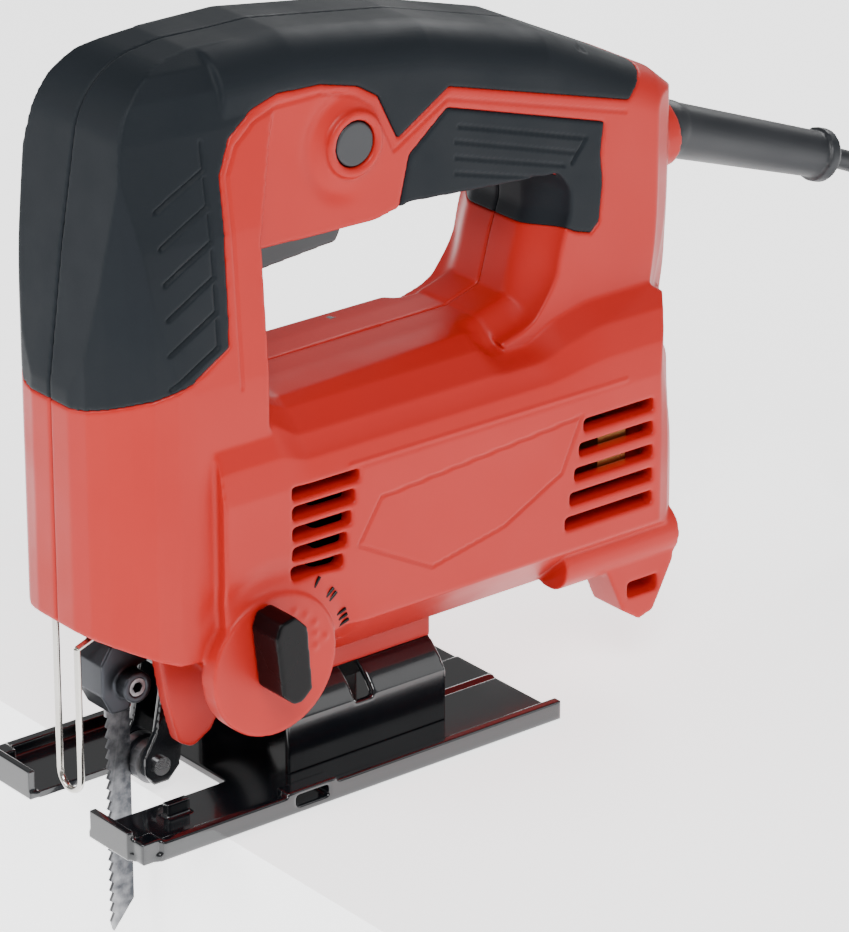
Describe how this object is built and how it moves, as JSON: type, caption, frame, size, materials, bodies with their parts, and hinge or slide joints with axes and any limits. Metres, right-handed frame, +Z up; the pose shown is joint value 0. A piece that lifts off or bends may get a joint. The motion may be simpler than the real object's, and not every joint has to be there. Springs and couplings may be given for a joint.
{
  "type": "orbital jigsaw power tool",
  "caption": "Corded D-handle orbital jigsaw: split red shell with soft grip, motor, crank gear, swinging blade slider, roller fork, tilting pressed shoe, trigger, lock button and cord.",
  "frame": {"origin": "on the sole of the shoe, in the tool's middle plane, under the bevel bracket", "axes": "+X from the blade towards the cord, +Z up out of the work, +Y to the tool's right side"},
  "size_m": [0.401, 0.1183, 0.2479],
  "materials": {
    "shell_red": "fine moulded grain",
    "soft_grip": "soft matt overmould",
    "black_plastic": "satin moulded",
    "grey_plastic": "satin moulded",
    "steel": "ground",
    "dark_steel": "blackened",
    "black_paint": "gloss black",
    "alloy": "die cast",
    "copper": "enamelled wire",
    "brass": "drawn",
    "carbon": "pressed carbon",
    "rubber_black": "smooth",
    "nickel": "nickel plated",
    "felt": "oiled felt",
    "wire_sheath": "insulation"
  },
  "bodies": {
    "housing": {"housing_left": "shell_red", "housing_right": "shell_red", "grip_left": "soft_grip", "grip_right": "soft_grip", "inlay_left": "soft_grip", "inlay_right": "soft_grip", "housing_screws": "steel", "front_bearing": "steel", "rear_bearing": "steel", "rear_bearing_boot": "rubber_black", "field_core": "steel", "field_coils": "copper", "fan_baffle": "black_plastic", "field_mount": "black_plastic", "brush_holders": "brass", "carbon_brushes": "carbon", "brush_springs": "steel", "gear_housing": "alloy", "gear_pin": "steel", "guide_pivot_pin": "steel", "holder_pivot_pin": "steel", "base_clamp_plate": "steel", "base_clamp_bolt": "dark_steel", "trigger_pin": "steel", "trigger_spring": "steel", "switch_unit": "black_plastic", "button_spring": "steel", "guard_wire": "nickel", "cord_guard": "rubber_black", "cord_clamp": "black_plastic", "cord_inner": "rubber_black", "cord": "rubber_black", "cord_coil": "rubber_black", "plug": "rubber_black", "plug_pins": "nickel", "inner_leads": "wire_sheath"},
    "armature": {"armature_shaft": "steel", "armature_core": "steel", "armature_windings": "copper", "commutator": "copper", "cooling_fan": "black_plastic"},
    "crank": {"crank_gear": "steel", "crank_pin": "steel"},
    "guide": {"slider_guide": "alloy", "slider_bushes": "brass", "rod_seal": "felt"},
    "slider": {"slider_rod": "steel", "slider_yoke": "steel", "blade_clamp": "dark_steel", "clamp_screw": "dark_steel", "blade": "dark_steel"},
    "roller_fork": {"roller_holder": "black_paint", "roller_pin": "steel"},
    "roller_wheel": {"roller": "dark_steel"},
    "orbit_control": {"orbit_lever": "black_plastic", "orbit_shaft": "steel"},
    "trigger_paddle": {"trigger": "grey_plastic"},
    "lock_on": {"lock_button": "grey_plastic"},
    "base": {"shoe": "black_paint", "bevel_bracket": "black_paint"}
  },
  "joints": [
    {"name": "crank_spin", "type": "hinge", "parent": "housing", "child": "crank", "pos_m": [-0.038, 0, 0.0965], "axis": [1, 0, 0], "continuous": true},
    {"name": "armature_spin", "type": "hinge", "parent": "housing", "child": "armature", "pos_m": [0.04, 0, 0.072], "axis": [1, 0, 0], "continuous": true},
    {"name": "guide_swing", "type": "hinge", "parent": "housing", "child": "guide", "pos_m": [-0.0675, 0, 0.15], "axis": [0, 1, 0], "range_deg": [0, 1.2]},
    {"name": "blade_stroke", "type": "slide", "parent": "guide", "child": "slider", "axis": [0, 0, 1], "range_m": [-0.018, 0]},
    {"name": "fork_swing", "type": "hinge", "parent": "housing", "child": "roller_fork", "pos_m": [-0.045, 0, 0.041], "axis": [0, 1, 0], "range_deg": [0, 5]},
    {"name": "roller_spin", "type": "hinge", "parent": "roller_fork", "child": "roller_wheel", "pos_m": [-0.0516, 0, 0.0094], "axis": [0, 1, 0], "continuous": true},
    {"name": "orbit_select", "type": "hinge", "parent": "housing", "child": "orbit_control", "pos_m": [-0.034, -0.04, 0.044], "axis": [0, 1, 0], "range_deg": [0, 85]},
    {"name": "trigger_pull", "type": "hinge", "parent": "housing", "child": "trigger_paddle", "pos_m": [-0.024, 0, 0.16], "axis": [0, -1, 0], "range_deg": [0, 6.5], "stiffness_Nm_per_rad": 0.8, "springref_deg": -8.59},
    {"name": "lock_press", "type": "slide", "parent": "housing", "child": "lock_on", "axis": [0, 1, 0], "range_m": [0, 0.003], "stiffness_N_per_m": 400, "springref_m": -0.003},
    {"name": "base_tilt", "type": "hinge", "parent": "housing", "child": "base", "pos_m": [0.0075, 0, 0.0053], "axis": [1, 0, 0], "range_deg": [-45, 45]}
  ],
  "couplings": [
    {"joint": "armature_spin", "follows": "crank_spin", "ratio": -6},
    {"joint": "fork_swing", "follows": "guide_swing", "ratio": 4.1}
  ]
}
